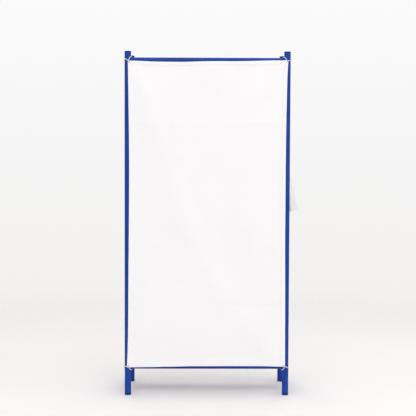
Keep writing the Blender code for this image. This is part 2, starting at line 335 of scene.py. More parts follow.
def smooth_line(points, step):
    """Evenly spaced points on a Catmull-Rom curve through the given ones."""
    given = np.asarray(points, float)
    padded = np.concatenate([2 * given[:1] - given[1:2], given, 2 * given[-1:] - given[-2:-1]])
    t = np.linspace(0, 1, 24, endpoint=False)[:, None]
    parts = []
    for p0, p1, p2, p3 in zip(padded, padded[1:], padded[2:], padded[3:]):
        square = (2 * p0 - 5 * p1 + 4 * p2 - p3) * t**2
        cube = (3 * p1 - p0 - 3 * p2 + p3) * t**3
        parts.append((2 * p1 + (p2 - p0) * t + square + cube) / 2)
    fine = np.concatenate([*parts, padded[-2:-1]])
    along = distances(fine)
    at = np.linspace(0, along[-1], max(4, round(along[-1] / step)) + 1)
    return np.stack([np.interp(at, along, fine[:, k]) for k in range(3)], -1)


def softened(table, column, shares, samples, window):
    """A smooth curve through one column of a table, read at each share of its length."""
    fine = np.linspace(0, 1, samples)
    line = np.interp(fine, [p[0] for p in table], [p[column] for p in table])
    kernel = np.hanning(window)
    padded = np.pad(line, window // 2, mode="reflect", reflect_type="odd")
    return np.interp(shares, fine, np.convolve(padded, kernel / kernel.sum(), "valid"))


def carried_frames(line):
    """Two unit vectors across the line at each of its points, turning no more than the line does."""
    ahead = unit(np.gradient(line, axis=0))
    across = np.array(Vector(ahead[0]).orthogonal().normalized())
    first, second = [], []
    for direction in ahead:
        across = unit(across - direction * (across @ direction))
        first.append(across)
        second.append(np.cross(direction, across))
    return np.array(first), np.array(second)


def tube(points, faces, line, radii, sides):
    """Adds a capped tube round a line, its radius given at each point."""
    first, second = carried_frames(line)
    start = len(points)
    for center, a, b, radius in zip(line, first, second, radii):
        for k in range(sides):
            turn = 2 * math.pi * k / sides
            points.append(center + radius * (a * math.cos(turn) + b * math.sin(turn)))
    end = start + (len(line) - 1) * sides
    for at in range(start, end, sides):
        join_rings(faces, at, at + sides, sides)
    faces.append(tuple(range(start + sides - 1, start - 1, -1)))
    faces.append(tuple(range(end, end + sides)))


# Tube frame


# Left between touching CAD solids
GAP = 0.0003
TUBE_WALL = 0.0020
TUBE_SIDES = 72
WELD_RADIUS = 0.0021
WELD_SIDES = 10
WELD_RIPPLE = 0.00030
WELD_RIPPLES_PER_M = 420
WELD_WANDER = 0.00015
WELD_WANDERS_PER_M = 170
WELD_STEP = 0.0005
# Degrees round a rail from its outer side to the rail beside it
WELD_ARC = (172, 45)
WELD_ARC_POINTS = 61
WELD_SEAM_POINTS = 41
CAP_SIDES = 72
# A cap's profile, in parts of its rim height and of the tube's radius: (radius, height)
TOP_CAP_PROFILE = (
    (0.00, 1.00), (0.09, 1.00), (0.10, 0.97), (0.12, 0.97), (0.13, 1.00), (0.55, 0.995),
    (0.78, 0.98), (0.86, 0.955), (0.92, 0.90), (0.965, 0.80), (0.988, 0.66), (1.000, 0.48),
    (1.004, 0.20), (1.004, 0.12), (0.985, 0.05), (0.94, 0.00), (0.80, 0.00),
)
FOOT_CAP_PROFILE = (
    (0.00, 0.94), (0.30, 0.94), (0.34, 1.00), (0.80, 1.00), (0.90, 0.985), (0.96, 0.93), (0.995, 0.80),
    (1.006, 0.62), (1.006, 0.30), (1.000, 0.26), (0.988, 0.23), (0.988, 0.20), (1.000, 0.17),
    (1.006, 0.12), (0.985, 0.04), (0.94, 0.00), (0.80, 0.00),
)


def ring_points(center, first, second, radius, cut, ahead):
    """One end ring of a tube, each point moved along the tube to meet what the tube is joined to."""
    points = []
    for k in range(TUBE_SIDES):
        turn = 2 * math.pi * k / TUBE_SIDES
        offset = cut(radius * math.cos(turn), radius * math.sin(turn))
        ray = first * math.cos(turn) * radius + second * math.sin(turn) * radius
        points.append(center + ray + ahead * offset)
    return points


def tube_piece(node, start, end, first, cut):
    """A round tube with its wall. The cut says how far its ends are shortened at each place round it."""
    start, end, first = Vector(start), Vector(end), Vector(first)
    ahead = (end - start).normalized()
    second = ahead.cross(first)
    points, faces = [], []
    for radius in (TUBE_RADIUS, TUBE_RADIUS - TUBE_WALL):
        points += ring_points(start, first, second, radius, cut, ahead)
        points += ring_points(end, first, second, radius, cut, -ahead)
    outer, outer_end, inner, inner_end = (TUBE_SIDES * k for k in range(4))
    for rings in ((outer, outer_end), (inner_end, inner), (inner, outer), (outer_end, inner_end)):
        join_rings(faces, *rings, TUBE_SIDES)
    piece = new_piece(node + "_tube", points, faces, COAT)
    piece.data.set_sharp_from_angle(angle=math.radians(50))
    settle(piece, node)


def square_end(first, second):
    return 0.0


def coped_end(inward):
    """The end of a rail on a post of its own width, mitred on its inner side with the rail beside it."""

    def cut(first, second):
        on_post = math.sqrt(max(0.0, TUBE_RADIUS**2 - first * first))
        return max(on_post, first * inward)

    return cut


def add_tubes():
    for face in FACES:
        for side in SIDES:
            x, y = post_axis(face, side)
            node = f"{face}_{side}_post"
            low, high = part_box(node)
            tube_piece(node, (x, y, low.z - GAP), (x, y, high.z + GAP), (1, 0, 0), square_end)
    for level, z in RAIL_HEIGHTS.items():
        for face, outward in FACES.items():
            start, end = ((*post_axis(face, side), z) for side in SIDES)
            tube_piece(f"{face}_{level}_rail", start, end, (0, 1, 0), coped_end(-outward))
        for side, outward in SIDES.items():
            start, end = ((*post_axis(face, side), z) for face in FACES)
            tube_piece(f"{side}_{level}_rail", start, end, (1, 0, 0), coped_end(-outward))


def weld_curves():
    """Where tubes meet at a corner: (along one rail, along the other, up) from the post's axis."""
    radius = TUBE_RADIUS
    over = []
    for turn in np.radians(np.linspace(*WELD_ARC, WELD_ARC_POINTS)):
        over.append((radius * abs(math.sin(turn)), radius * math.cos(turn), radius * math.sin(turn)))
    between = []
    for share in np.linspace(1, -1, WELD_SEAM_POINTS):
        z = radius * math.sqrt(0.5) * share
        reach = math.sqrt(radius * radius - z * z)
        between.append((reach, reach, z))
    curves = []
    for up in (1, -1):
        curves.append([(a, b, up * c) for a, b, c in over])
        curves.append([(b, a, up * c) for a, b, c in over])
    return [*curves, between]


def weld_radii(count, start):
    """A bead's radius along its line: rippled, wandering a little and thinner at its ends."""
    along = np.arange(count) * WELD_STEP
    share = np.linspace(0, 1, count)
    taper = np.clip(np.minimum(share / 0.16, (1 - share) / 0.05 + 0.55), 0.12, 1)
    ripple = WELD_RIPPLE * np.abs(np.sin(math.pi * WELD_RIPPLES_PER_M * along + start))
    wander = WELD_WANDER * np.sin(along * WELD_WANDERS_PER_M + start)
    return (WELD_RADIUS + wander) * taper + ripple * taper


def add_weld(face, level, side):
    """Fillet welds at one corner, coated with the tubes."""
    x, y = post_axis(face, side)
    z = RAIL_HEIGHTS[level]
    seed = 70 + FACES[face] * 3 + SIDES[side] + (9 if level == "top" else 0)
    draws = np.random.default_rng(seed)
    points, faces = [], []
    for curve in weld_curves():
        places = [(x - SIDES[side] * a, y - FACES[face] * b, z + c) for a, b, c in curve]
        line = smooth_line(places, WELD_STEP)
        tube(points, faces, line, weld_radii(len(line), draws.uniform(0, 6)), WELD_SIDES)
    settle(new_piece(f"{face}_{level}_{side}_weld", points, faces, COAT))


def cap_piece(node, axis, base, rim, up, profile):
    """A cap's visible rim, turned from its profile, with the tube's end under it."""
    points, faces = [], []
    for radius, height in profile[1:]:
        for k in range(CAP_SIDES):
            turn = 2 * math.pi * k / CAP_SIDES
            points.append(on_circle(axis, TUBE_RADIUS * radius, turn, base + up * rim * height))
    last = (len(profile) - 2) * CAP_SIDES
    for ring in range(0, last, CAP_SIDES):
        join_rings(faces, ring, ring + CAP_SIDES, CAP_SIDES)
    for ring, height in ((0, profile[0][1]), (last, profile[-1][1])):
        points.append((*axis, base + up * rim * height))
        for k in range(CAP_SIDES):
            faces.append((ring + k, ring + (k + 1) % CAP_SIDES, len(points) - 1))
    settle(new_piece(node + "_rim", points, faces, PLASTIC), node)


def add_caps():
    for face in FACES:
        for side in SIDES:
            axis = post_axis(face, side)
            low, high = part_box(f"{face}_{side}_post")
            top, foot = f"{face}_{side}_top_cap", f"{face}_{side}_foot_cap"
            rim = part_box(top)[1].z - high.z - GAP
            cap_piece(top, axis, high.z + GAP, rim, 1, TOP_CAP_PROFILE)
            rim = low.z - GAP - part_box(foot)[0].z
            cap_piece(foot, axis, low.z - GAP, rim, -1, FOOT_CAP_PROFILE)


# Cloths


SHEET_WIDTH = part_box("front_sheet")[1].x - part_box("front_sheet")[0].x
SHEET_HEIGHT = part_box("front_sheet")[1].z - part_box("front_sheet")[0].z
SHEET_CELLS = (56, 108)
SHEET_FRAMES = 34
SHEET_SLACK = 1.003
CLOTH_SETTINGS = {
    "quality": 6,
    "mass": 0.0003,
    "tension_stiffness": 45,
    "compression_stiffness": 25,
    "shear_stiffness": 8,
    "bending_stiffness": 1.6,
    "bending_damping": 0.5,
    "air_damping": 4,
}
SHEET_WAVES = 18
SHEET_WAVE_HEIGHT = 0.003
SHEET_SEEDS = {"front": 3, "rear": 8}
HEM_WIDTH = 0.018
HEM_CELLS = 6
HEM_THICKNESS = 0.0019
CLOTH_THICKNESS = 0.0009
HOLE_INSET = 0.007
HOLE_RADIUS = 0.0034
HOLE_RINGS = 4
STITCH_INSET = 0.0150
# How far the seam pulls the hem in, and over what width
SEAM_DIMPLE = (0.00025, 0.002)
STITCH_PITCH = 0.0036
# Half its length, its width and its height
STITCH_SIZE = (0.0013, 0.00042, 0.00030)
# A stitch's sections: place from its middle, and share of its width and height
STITCH_SECTIONS = ((-0.72, 0.8), (0.0, 1.0), (0.72, 0.8))
EYELET_TURNS = 96
EYELET_RIDGES = 32
EYELET_SECTION = 10
EYELET_BAND = 0.0016
FOLDS_PER_SHEET = 5
FOLD_DEPTHS = (0.0019, -0.0009, 0.0010, -0.0018)
FOLD_REACH = 0.022

# How far each corner is pulled by its tie: across and up
CORNER_PULL = {
    "front": ((-0.0035, 0.0035), (0.0020, 0.0010), (-0.0020, -0.0010), (0.0035, -0.0035)),
    "rear": ((-0.0015, 0.0010), (0.0035, 0.0030), (-0.0035, -0.0030), (0.0020, -0.0010)),
}
# Where each edge runs: (share of its length, distance inside the straight line between corners)
EDGES = {
    "front": {
        "left": (
            (0, 0.0015), (0.05, 0.0028), (0.09, 0.0038), (0.23, 0.0068), (0.33, 0.0080), (0.46, 0.0072),
            (0.60, 0.0056), (0.70, 0.0040), (0.85, 0.0027), (0.95, 0.0004), (1, -0.0035),
        ),
        "right": (
            (0, -0.0035), (0.03, 0.0005), (0.07, 0.0018), (0.20, 0.0050), (0.33, 0.0065), (0.46, 0.0061),
            (0.60, 0.0070), (0.67, 0.0058), (0.80, 0.0040), (0.90, 0.0036), (1, 0.0030),
        ),
        "top": (
            (0, 0.001), (0.05, 0.0022), (0.09, 0.0031), (0.17, 0.0060), (0.30, 0.0066), (0.36, 0.0068),
            (0.50, 0.0030), (0.67, 0.0024), (0.80, 0.0), (0.91, -0.0030), (1, -0.0028),
        ),
        "bottom": (
            (0, -0.0052), (0.09, -0.0042), (0.20, -0.0032), (0.30, -0.0022), (0.37, 0.0002),
            (0.50, 0.0012), (0.60, 0.0014), (0.70, 0.0010), (0.84, 0.0012), (0.91, 0.0004), (1, -0.0005),
        ),
    },
    "rear": {
        "left": ((0, 0.0), (0.25, 0.0034), (0.5, 0.0046), (0.75, 0.0028), (1, 0.0)),
        "right": ((0, 0.0), (0.22, 0.0028), (0.5, 0.0040), (0.8, 0.0031), (1, 0.0)),
        "top": ((0, 0.0), (0.3, 0.0040), (0.6, 0.0046), (0.85, 0.0020), (1, 0.0)),
        "bottom": ((0, 0.0), (0.3, 0.0022), (0.6, 0.0030), (0.85, 0.0014), (1, 0.0)),
    },
}
# Where the pull between corners lifts each cloth in a soft ridge: places from 0 to 1 across and down,
# then how high the ridge is and how far it reaches to its upper and its lower side
RIDGES = {
    "front": (
        (((0, 0), (0.14, 0.17), (0.26, 0.36), (0.35, 0.49)), 0.0066, 0.045, 0.085),
        (((0.37, 0.53), (0.55, 0.73), (0.75, 0.87), (1, 1)), 0.0068, 0.090, 0.048),
        (((1, 0), (0.90, 0.07), (0.76, 0.13)), 0.0030, 0.030, 0.050),
        (((0, 1), (0.10, 0.93), (0.24, 0.88)), 0.0026, 0.045, 0.030),
    ),
    "rear": (
        (
            ((1, 0), (0.84, 0.16), (0.66, 0.37), (0.50, 0.52), (0.38, 0.70), (0.22, 0.86), (0, 1)),
            0.0055, 0.050, 0.070,
        ),
        (((0, 0), (0.12, 0.06), (0.25, 0.14)), 0.0030, 0.035, 0.050),
        (((1, 1), (0.90, 0.94), (0.78, 0.88)), 0.0024, 0.045, 0.030),
    ),
}
# The grid's cells between hems, the line just inside each hem, and the lines beside each fold
CLOTH_CELL = 0.0078
HEM_STEP = 0.0012
FOLD_LINES = (-0.005, 0, 0.005)
FOLD_CLEAR = 0.0075
# The cloth stays between these, off the plane of its back, outwards
CLOTH_DEPTHS = (-0.0042, 0.0115)
EDGE_DEPTHS = (-0.0016, 0.0045)
NEAR_EDGE = 0.045
# Samples along an edge, and how many of them its curve is softened over
EDGE_SOFTENING = (201, 29)
SLOPE_STEP = 0.0015


def hung_sheet(face):
    """A flat cloth pulled by its corners: a grid of places from the cloth's middle, with Y outwards."""
    columns, rows = SHEET_CELLS
    draws = np.random.default_rng(SHEET_SEEDS[face])
    x = np.linspace(-SHEET_WIDTH / 2, SHEET_WIDTH / 2, columns + 1)
    z = np.linspace(SHEET_HEIGHT / 2, -SHEET_HEIGHT / 2, rows + 1)
    x, z = np.meshgrid(x, z)
    depth = np.zeros_like(x)
    for _ in range(SHEET_WAVES):
        waves = draws.uniform(0.5, 6, 2) * math.pi
        starts = draws.uniform(0, 2 * math.pi, 2)
        height = draws.uniform(-SHEET_WAVE_HEIGHT, SHEET_WAVE_HEIGHT)
        across = np.sin(waves[0] * x / SHEET_WIDTH + starts[0])
        depth += height * across * np.sin(waves[1] * z / SHEET_HEIGHT + starts[1])
    flat = np.stack([x * SHEET_SLACK, depth, z * SHEET_SLACK], -1)
    held = np.stack([x, depth, z], -1)
    right, down = x / SHEET_WIDTH + 0.5, 0.5 - z / SHEET_HEIGHT
    shares = ((1 - right) * (1 - down), right * (1 - down), (1 - right) * down, right * down)
    for share, (pull_x, pull_z) in zip(shares, CORNER_PULL[face]):
        held[..., 0] += share * pull_x
        held[..., 2] += share * pull_z
    return simulated(f"{face}_sheet_at_rest", held, flat)


def simulated(name, held, flat):
    """What Blender's cloth makes of a grid cut flat and held by its four corners."""
    rows, columns = held.shape[0] - 1, held.shape[1] - 1
    step = columns + 1
    mesh = bpy.data.meshes.new(name)
    mesh.from_pydata(held.reshape(-1, 3).tolist(), [], grid_faces(step, rows + 1))
    obj = link(name, mesh)
    obj.shape_key_add(name="Basis")
    cut = obj.shape_key_add(name="flat")
    cut.data.foreach_set("co", flat.reshape(-1))
    low = rows * step
    corners = ((0, 1, step), (columns, -1, step), (low, 1, -step), (low + columns, -1, -step))
    pins = []
    for corner, right, down in corners:
        pins += [corner, corner + right, corner + down, corner + right + down]
    obj.vertex_groups.new(name="pins").add(pins, 1.0, "REPLACE")
    cloth = obj.modifiers.new("cloth", "CLOTH")
    for setting, value in CLOTH_SETTINGS.items():
        setattr(cloth.settings, setting, value)
    cloth.settings.vertex_group_mass = "pins"
    cloth.settings.rest_shape_key = cut
    cloth.collision_settings.use_collision = False
    cloth.collision_settings.use_self_collision = False
    cloth.point_cache.frame_start = 1
    cloth.point_cache.frame_end = SHEET_FRAMES
    scene = bpy.context.scene
    scene.frame_start, scene.frame_end = 1, SHEET_FRAMES
    for number in range(1, SHEET_FRAMES + 1):
        scene.frame_set(number)
    evaluated = obj.evaluated_get(bpy.context.evaluated_depsgraph_get())
    found = np.empty(held.size)
    evaluated.data.vertices.foreach_get("co", found)
    bpy.data.objects.remove(obj)
    bpy.data.meshes.remove(mesh)
    scene.frame_set(1)
    return found.reshape(held.shape)


def smoothed(grid, passes):
    """The grid with each value softened by its neighbours, edges included."""
    for _ in range(passes):
        for axis in (0, 1):
            ends = [(1, 1) if k == axis else (0, 0) for k in range(grid.ndim)]
            padded = np.pad(grid, ends, mode="edge")
            before = np.take(padded, range(grid.shape[axis]), axis)
            after = np.take(padded, range(2, grid.shape[axis] + 2), axis)
            grid = grid * 0.5 + (before + after) * 0.25
    return grid


def cubic_weights(shares, cells):
    """Catmull-Rom indices and weights of a row of evenly spaced values at each share, from 0 to 1."""
    at = np.clip(shares, 0.0, 1.0) * cells
    k = np.minimum(at.astype(int), cells - 1)
    t = at - k
    weights = (
        (-t + 2 * t * t - t**3) / 2,
        (2 - 5 * t * t + 3 * t**3) / 2,
        (t + 4 * t * t - 3 * t**3) / 2,
        (-t * t + t**3) / 2,
    )
    return [(np.clip(k + n - 1, 0, cells), weight) for n, weight in enumerate(weights)]


def ridged(face, right, down):
    """How far the ridges lift the cloth at each place, from 0 to 1 across and down."""
    x, z = np.broadcast_arrays(right * SHEET_WIDTH, down * SHEET_HEIGHT)
    total = np.zeros(x.shape)
    for places, height, above, below in RIDGES[face]:
        line = smooth_line([(a * SHEET_WIDTH, b * SHEET_HEIGHT, 0) for a, b in places], 0.012)[:, :2]
        run = unit(np.gradient(line, axis=0))
        off = np.stack([x, z], -1)[..., None, :] - line
        nearest = np.argmin((off**2).sum(-1), axis=-1)
        gap = np.take_along_axis(off, nearest[..., None, None], -2)[..., 0, :]
        along = run[nearest]
        side = gap[..., 0] * np.abs(along[..., 1]) - gap[..., 1] * along[..., 0] * np.sign(along[..., 1])
        reach = np.where(side > 0, above, below)
        total += height * np.exp(-((gap**2).sum(-1)) / reach**2)
    return total


class Cloth:
    """A hung cloth's surface: points and normals for any place on the flat cut."""

    def __init__(self, face):
        self.outward = FACES[face]
        low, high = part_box(f"{face}_sheet")
        self.middle = (low + high) / 2
        self.back = high.y if self.outward < 0 else low.y
        found = hung_sheet(face)
        rows, columns = found.shape[0] - 1, found.shape[1] - 1
        right = np.linspace(0, 1, columns + 1)[None, :]
        down = np.linspace(0, 1, rows + 1)[:, None]
        rest_x = (right - 0.5) * SHEET_WIDTH
        rest_z = (0.5 - down) * SHEET_HEIGHT
        shift_x = smoothed(found[..., 0] - rest_x, 2)
        shift_z = smoothed(found[..., 2] - rest_z, 2)
        edges = EDGES[face]
        left = softened(edges["left"], 1, down, *EDGE_SOFTENING) - shift_x[:, :1]
        far = -softened(edges["right"], 1, down, *EDGE_SOFTENING) - shift_x[:, -1:]
        top = -softened(edges["top"], 1, right, *EDGE_SOFTENING) - shift_z[:1, :]
        bottom = softened(edges["bottom"], 1, right, *EDGE_SOFTENING) - shift_z[-1:, :]
        shift_x += left * (1 - right) ** 3 + far * right**3
        shift_z += top * (1 - down) ** 6 + bottom * down**6
        depth = smoothed(found[..., 1], 2) + ridged(face, right, down)
        depth = self.kept_in_room(depth, right, down)
        self.grid = np.stack([rest_x + shift_x, depth, rest_z + shift_z], -1)
        self.cells = (columns, rows)

    def kept_in_room(self, depth, right, down):
        """The depth held between its limits, which are closer together near the frame."""
        across = np.minimum(right, 1 - right) * SHEET_WIDTH
        along = np.minimum(down, 1 - down) * SHEET_HEIGHT
        inside = np.clip(np.minimum(across, along) / NEAR_EDGE, 0, 1)
        inside = inside * inside * (3 - 2 * inside)
        low = EDGE_DEPTHS[0] + (CLOTH_DEPTHS[0] - EDGE_DEPTHS[0]) * inside
        high = EDGE_DEPTHS[1] + (CLOTH_DEPTHS[1] - EDGE_DEPTHS[1]) * inside
        center, half = (low + high) / 2, (high - low) / 2
        return center + half * np.tanh((depth - center) / half)

    def crease(self, down):
        """The cloth was stored folded, and its folds still show as ridges and valleys."""
        total = np.zeros_like(down)
        for number, height in enumerate(FOLD_DEPTHS, start=1):
            off = np.abs(down - number / FOLDS_PER_SHEET) * SHEET_HEIGHT
            total += height * np.exp(-off / FOLD_REACH)
        return total

    def world(self, local):
        points = np.empty_like(local)
        points[..., 0] = self.middle.x + local[..., 0]
        points[..., 1] = self.back + self.outward * local[..., 1]
        points[..., 2] = self.middle.z + local[..., 2]
        return points

    def at(self, across, along):
        """World points at pairs of distances from the cut's left and top edges."""
        columns, rows = self.cells
        local = np.zeros((len(across), 3))
        for row, tall in cubic_weights(along / SHEET_HEIGHT, rows):
            for column, wide in cubic_weights(across / SHEET_WIDTH, columns):
                local += (tall * wide)[:, None] * self.grid[row, column]
        local[:, 1] += self.crease(along / SHEET_HEIGHT)
        return self.world(local)

    def frames(self, across, along):
        """Points, unit steps across and along, and unit normals outwards."""
        across, along = np.asarray(across, float), np.asarray(along, float)
        step = SLOPE_STEP
        wide = unit(self.at(across + step, along) - self.at(across - step, along))
        tall = unit(self.at(across, along + step) - self.at(across, along - step))
        out = unit(np.cross(tall, wide))
        return self.at(across, along), wide, tall, out * np.sign(out[:, 1:2]) * self.outward


def sheet_lines(size, extra=()):
    """Distances of the grid's lines from one edge: fine over the hems, coarser between them."""
    hem = np.linspace(0, HEM_WIDTH, HEM_CELLS + 1)
    inner = HEM_WIDTH + HEM_STEP
    count = round((size - 2 * inner) / CLOTH_CELL)
    lines = list(hem) + list(np.linspace(inner, size - inner, count + 1)) + list(size - hem)
    for at in extra:
        lines = [x for x in lines if abs(x - at) > FOLD_CLEAR] + [at + off for off in FOLD_LINES]
    return np.array(sorted(lines))


def block_lines(count, far):
    """The grid's lines in the block at a corner, from the cloth's edge inwards."""
    return [count - 1 - k if far else k for k in range(HEM_CELLS + 1)]


def corner_patch(across, along, corner_x, corner_z):
    """The grid points round the block at a corner, and rings of flat places from there to its hole."""
    block = HEM_CELLS
    columns = block_lines(len(across), corner_x)
    rows = block_lines(len(along), corner_z)
    ring = [(rows[0], columns[i]) for i in range(block)]
    ring += [(rows[j], columns[block]) for j in range(block)]
    ring += [(rows[block], columns[block - i]) for i in range(block)]
    ring += [(rows[block - j], columns[0]) for j in range(block)]
    center_x = HOLE_INSET if corner_x == 0 else SHEET_WIDTH - HOLE_INSET
    center_z = HOLE_INSET if corner_z == 0 else SHEET_HEIGHT - HOLE_INSET
    outer = np.array([(across[c], along[r]) for r, c in ring])
    turn = np.arctan2(outer[:, 1] - center_z, outer[:, 0] - center_x)
    inner = np.stack([center_x + HOLE_RADIUS * np.cos(turn), center_z + HOLE_RADIUS * np.sin(turn)], -1)
    rings = [outer + (inner - outer) * (k / HOLE_RINGS) for k in range(1, HOLE_RINGS + 1)]
    return ring, rings


def cloth_layout():
    """The flat cut's mesh: points, faces, and the loops of its outline and holes."""
    folds = [SHEET_HEIGHT * k / FOLDS_PER_SHEET for k in range(1, FOLDS_PER_SHEET)]
    across, along = sheet_lines(SHEET_WIDTH), sheet_lines(SHEET_HEIGHT, folds)
    wide, tall = len(across), len(along)
    points = [(x, z) for z in along for x in across]
    faces = []
    for j in range(tall - 1):
        for i in range(wide - 1):
            near_x = i < HEM_CELLS or i >= wide - 1 - HEM_CELLS
            near_z = j < HEM_CELLS or j >= tall - 1 - HEM_CELLS
            if not (near_x and near_z):
                k = j * wide + i
                faces.append((k, k + wide, k + wide + 1, k + 1))
    loops = []
    for corner_x in (0, 1):
        for corner_z in (0, 1):
            ring, rings = corner_patch(across, along, corner_x, corner_z)
            before = [r * wide + c for r, c in ring]
            flip = corner_x != corner_z
            for circle in rings:
                now = list(range(len(points), len(points) + len(circle)))
                points += [tuple(p) for p in circle]
                for k in range(len(now)):
                    n = (k + 1) % len(now)
                    quad = (before[k], before[n], now[n], now[k])
                    faces.append(quad if flip else quad[::-1])
                before = now
            loops.append(before)
    return np.array(points), faces, [*loops, grid_outline(wide, tall)]


def add_sheet(face):
    """One cloth with its folded hems and its four corner holes."""
    cloth = Cloth(face)
    flat, faces, loops = cloth_layout()
    points, _, _, normals = cloth.frames(flat[:, 0], flat[:, 1])
    inside = np.minimum(
        np.minimum(flat[:, 0], SHEET_WIDTH - flat[:, 0]),
        np.minimum(flat[:, 1], SHEET_HEIGHT - flat[:, 1]),
    )
    hem = np.clip((HEM_WIDTH + 0.0006 - inside) / 0.0006, 0, 1)
    edge = np.clip(inside / 0.002, 0, 1)
    body = (CLOTH_THICKNESS + (HEM_THICKNESS - CLOTH_THICKNESS) * hem) * (0.6 + 0.4 * edge)
    dimple = SEAM_DIMPLE[0] * np.exp(-(((inside - STITCH_INSET) / SEAM_DIMPLE[1]) ** 2))
    front = points + normals * (body + 0.0001 - dimple)[:, None]
    both = two_sided(faces, loops, len(points))
    return new_piece(f"{face}_cloth", np.concatenate([points, front]), both, CLOTH), cloth


def seam_places():
    """Where each stitch of the hem seam lies on the flat cut, and which way it runs."""
    right, bottom = SHEET_WIDTH - STITCH_INSET, SHEET_HEIGHT - STITCH_INSET
    left = top = STITCH_INSET
    corners = [(left, top), (right, top), (right, bottom), (left, bottom)]
    places = []
    for (x0, z0), (x1, z1) in zip(corners, corners[1:] + corners[:1]):
        long = math.hypot(x1 - x0, z1 - z0)
        count = int(long / STITCH_PITCH)
        for k in range(count):
            t = (k + 0.5) / count
            places.append((x0 + (x1 - x0) * t, z0 + (z1 - z0) * t, abs(x1 - x0) > abs(z1 - z0)))
    return places


def add_stitches(face, cloth):
    """The seam's thread, a short raised stitch at a time, on both sides of the hem."""
    places = seam_places()
    across = np.array([p[0] for p in places])
    along = np.array([p[1] for p in places])
    point, wide, tall, out = cloth.frames(across, along)
    level = np.array([p[2] for p in places])[:, None]
    run = np.where(level, wide, tall)
    side = np.where(level, tall, wide)
    run = run + side * np.random.default_rng(21).uniform(-0.10, 0.10, len(places))[:, None]
    half, width, height = STITCH_SIZE
    points, faces = [], []
    for sign, lift in ((1, HEM_THICKNESS - 0.00022), (-1, 0.0)):
        for k in range(len(places)):
            base = point[k] + out[k] * lift
            rise = out[k] * sign
            first = len(points)
            points.append(base - run[k] * half)
            for at, size in STITCH_SECTIONS:
                center = base + run[k] * half * at
                points.append(center + side[k] * width * size)
                points.append(center + rise * height * size)
                points.append(center - side[k] * width * size)
                points.append(center - rise * height * 0.6 * size)
            points.append(base + run[k] * half)
            last = len(points) - 1
            for c in range(4):
                n = (c + 1) % 4
                faces.append((first, first + 1 + c, first + 1 + n))
                faces.append((last, last - 4 + n, last - 4 + c))
            join_rings(faces, first + 1, first + 5, 4)
            join_rings(faces, first + 5, first + 9, 4)
    return new_piece(f"{face}_cloth_stitches", points, faces, THREAD)


def add_eyelets(face, cloth):
    """Corner holes worked round with thread, like a buttonhole."""
    points, faces = [], []
    for x in (HOLE_INSET, SHEET_WIDTH - HOLE_INSET):
        for z in (HOLE_INSET, SHEET_HEIGHT - HOLE_INSET):
            point, wide, tall, out = (v[0] for v in cloth.frames([x], [z]))
            center = point + out * HEM_THICKNESS / 2
            first = len(points)
            for k in range(EYELET_TURNS):
                turn = 2 * math.pi * k / EYELET_TURNS
                ray = wide * math.cos(turn) + tall * math.sin(turn)
                ridge = 1 + 0.16 * math.cos(turn * EYELET_RIDGES)
                for c in range(EYELET_SECTION):
                    around = 2 * math.pi * c / EYELET_SECTION
                    radial = HOLE_RADIUS + EYELET_BAND * 0.55 + EYELET_BAND * math.cos(around) * ridge
                    rise = (HEM_THICKNESS / 2 + 0.0005) * math.sin(around) * ridge
                    points.append(center + ray * radial + out * rise)
            for k in range(EYELET_TURNS):
                after = (k + 1) % EYELET_TURNS
                at, beyond = first + k * EYELET_SECTION, first + after * EYELET_SECTION
                join_rings(faces, at, beyond, EYELET_SECTION)
    return new_piece(f"{face}_cloth_eyelets", points, faces, THREAD)


def add_sheets():
    for face in FACES:
        sheet, cloth = add_sheet(face)
        stitches = add_stitches(face, cloth)
        eyelets = add_eyelets(face, cloth)
        settle(sheet, f"{face}_sheet")
        settle(stitches)
        settle(eyelets)


# Cords


TIE_DIAMETER = 0.0045
KNOT_RADIUS = 0.0050
KNOT_END_LENGTH = 0.026
# Which way a knot's two loose ends lie (outward, forward, away), and how far each bows
KNOT_ENDS = (((-0.84, -0.40, -0.36), -0.30), ((-0.10, -0.98, 0.15), 0.35))
FRAYED_FIBERS = 16
FIBER_LENGTHS = (0.003, 0.0060)
FIBER_SPREADS = (0.05, 0.62)
FIBER_RADII = (0.00034, 0.00012)
# How far past its rail's centre line each tie goes round its post
TIE_RISE = {
    ("front", "top", "left"): 0.0135,
    ("front", "top", "right"): 0.0030,
    ("front", "bottom", "left"): 0.0030,
    ("front", "bottom", "right"): 0.0100,
    ("rear", "top", "left"): 0.0060,
    ("rear", "top", "right"): 0.0090,
    ("rear", "bottom", "left"): 0.0070,
    ("rear", "bottom", "right"): 0.0050,
}
STRANDS = 3
STRAND_SIDES = 8
STRAND_SHARE = 0.262
STRAND_OFFSET = 0.235
TWIST_PITCH = 3.1
CORD_STEP = 0.0009
KNOT_STEPS = 120


def tie_route(rise, sheet_front):
    """A tie's line as (outward, forward, away) from the crossing of its post and rail, hole to hole."""
    on_post = TUBE_RADIUS + TIE_DIAMETER / 2 + GAP
    proud = sheet_front + TIE_DIAMETER / 2 + GAP
    beyond = on_post + 0.0012
    hole = -HOLE_INSET
    return [
        (hole, (on_post + proud) / 2 + 0.0004, hole),
        (hole * 0.75, proud, hole * 0.65),
        (0.0015, proud, rise * 0.2),
        (0.0095, on_post * 0.96, rise * 0.55),
        (on_post * 0.87, on_post * 0.55, rise * 0.9),
        (on_post * 1.01, -0.0010, rise + 0.0020),
        (on_post * 0.90, -on_post * 0.56, max(rise, 0.0110) + 0.0015),
        (on_post * 0.52, -on_post * 0.94, beyond * 0.90),
        (-0.0010, -on_post * 1.08, beyond * 1.04),
        (-on_post * 0.62, -on_post * 0.86, beyond * 1.06),
        (-on_post * 0.98, -on_post * 0.28, beyond * 1.04),
        (-on_post * 0.95, on_post * 0.34, beyond * 1.03),
        (-on_post * 0.66, on_post * 0.80, beyond * 0.82),
        (-on_post * 0.38, on_post * 0.99, beyond * 0.42),
        (hole * 0.85, on_post, 0.0),
        (hole * 0.98, on_post * 1.02, hole * 0.72),
    ]


